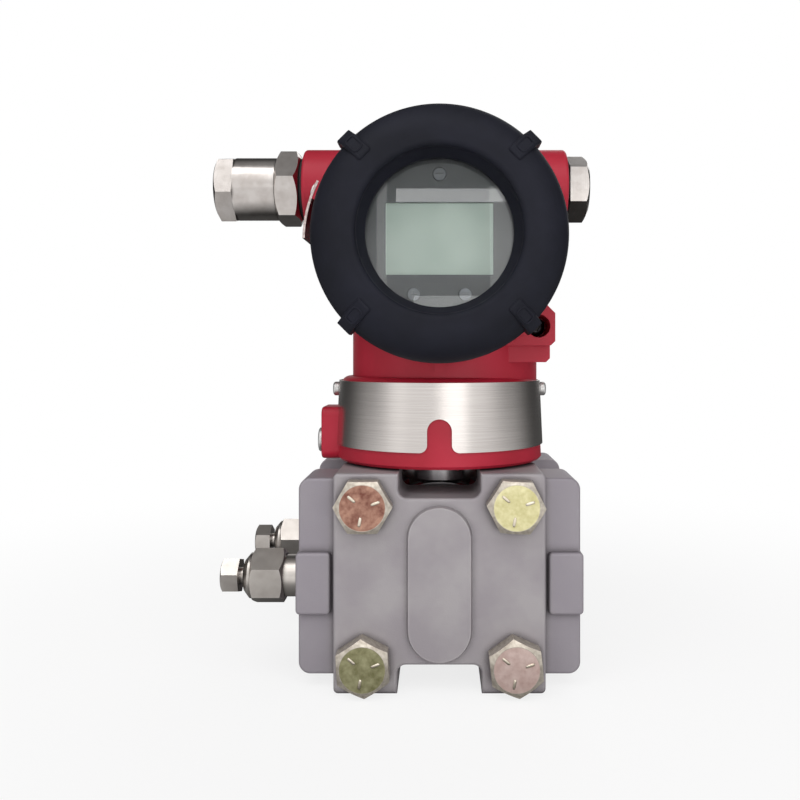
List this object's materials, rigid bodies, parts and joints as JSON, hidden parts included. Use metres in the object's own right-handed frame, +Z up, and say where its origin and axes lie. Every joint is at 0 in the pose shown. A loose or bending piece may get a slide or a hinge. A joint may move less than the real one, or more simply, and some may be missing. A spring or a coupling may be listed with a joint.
{
  "type": "differential pressure transmitter",
  "caption": "Industrial pressure transmitter: red two-compartment head with round display, banded neck, and a sensor cell bolted between two process flanges with vent valves.",
  "frame": {"origin": "centre of the manifold bolt pattern, on the flanges' side with the process ports", "axes": "+Z up along the neck, -Y towards the display, +X towards the process ports"},
  "size_m": [0.1401, 0.1228, 0.1936],
  "materials": {
    "head_paint": "satin powder coat",
    "cover_coat": "matte moulded",
    "window_glass": "polished",
    "display_frame": "matte moulded",
    "display_panel": "satin",
    "board": "satin",
    "terminal_plastic": "matte moulded",
    "black_rubber": "matte",
    "gland_steel": "turned",
    "band_steel": "brushed",
    "screw_steel": "turned",
    "plate_black": "satin",
    "sensor_steel": "polished",
    "diaphragm_steel": "bright",
    "flange_steel": "bead blasted casting",
    "zinc_yellow": "yellow zinc plated",
    "vent_steel": "turned"
  },
  "bodies": {
    "cell": {"sensor_module": "sensor_steel", "neck_seal": "black_rubber", "front_gasket": "black_rubber", "rear_gasket": "black_rubber", "front_diaphragm": "diaphragm_steel", "rear_diaphragm": "diaphragm_steel", "front_flange": "flange_steel", "rear_flange": "flange_steel", "flange_bolts": "zinc_yellow", "flange_nuts": "zinc_yellow", "front_vent_body": "vent_steel", "rear_vent_body": "vent_steel"},
    "head": {"housing_body": "head_paint", "neck_band": "band_steel", "band_screws": "screw_steel", "rotation_lock_screw": "screw_steel", "cover_lock_screw": "screw_steel", "side_nameplate": "plate_black", "nameplate_rivets": "screw_steel", "display_face": "display_frame", "display_housing": "display_frame", "lcd_panel": "display_panel", "display_screws": "screw_steel", "circuit_board": "board", "terminal_block": "terminal_plastic", "terminal_screws": "screw_steel", "gland_o_ring": "black_rubber", "gland_body": "gland_steel", "gland_seal": "black_rubber", "gland_nut": "gland_steel", "plug_o_ring": "black_rubber", "blanking_plug": "gland_steel"},
    "front_seal": {"front_cover_seal": "black_rubber"},
    "front_cover": {"front_cover": "cover_coat", "window_glass": "window_glass", "window_retainer": "screw_steel"},
    "rear_seal": {"rear_cover_seal": "black_rubber"},
    "rear_cover": {"rear_cover": "cover_coat"},
    "front_vent": {"front_vent_screw": "vent_steel"},
    "rear_vent": {"rear_vent_screw": "vent_steel"}
  },
  "joints": [
    {"name": "head_turn", "type": "hinge", "parent": "cell", "child": "head", "pos_m": [-0.048, 0, 0.0492], "axis": [0, 0, 1], "range_deg": [-180, 180]},
    {"name": "front_cover_travel", "type": "slide", "parent": "head", "child": "front_seal", "axis": [0, -1, 0], "range_m": [0, 0.0101]},
    {"name": "front_cover_turn", "type": "hinge", "parent": "front_seal", "child": "front_cover", "pos_m": [-0.048, -0.05, 0.1162], "axis": [0, -1, 0], "range_deg": [0, 1800]},
    {"name": "rear_cover_travel", "type": "slide", "parent": "head", "child": "rear_seal", "axis": [0, 1, 0], "range_m": [0, 0.0101]},
    {"name": "rear_cover_turn", "type": "hinge", "parent": "rear_seal", "child": "rear_cover", "pos_m": [-0.048, 0.05, 0.1162], "axis": [0, 1, 0], "range_deg": [0, 1800]},
    {"name": "front_vent_turn", "type": "hinge", "parent": "cell", "child": "front_vent", "pos_m": [-0.118, -0.027, 0], "axis": [-1, 0, 0], "range_deg": [0, 360]},
    {"name": "rear_vent_turn", "type": "hinge", "parent": "cell", "child": "rear_vent", "pos_m": [-0.118, 0.027, 0], "axis": [-1, 0, 0], "range_deg": [0, 360]}
  ],
  "couplings": [
    {"joint": "front_cover_travel", "follows": "front_cover_turn", "m_per_rad": 0.00031831},
    {"joint": "rear_cover_travel", "follows": "rear_cover_turn", "m_per_rad": 0.00031831}
  ]
}
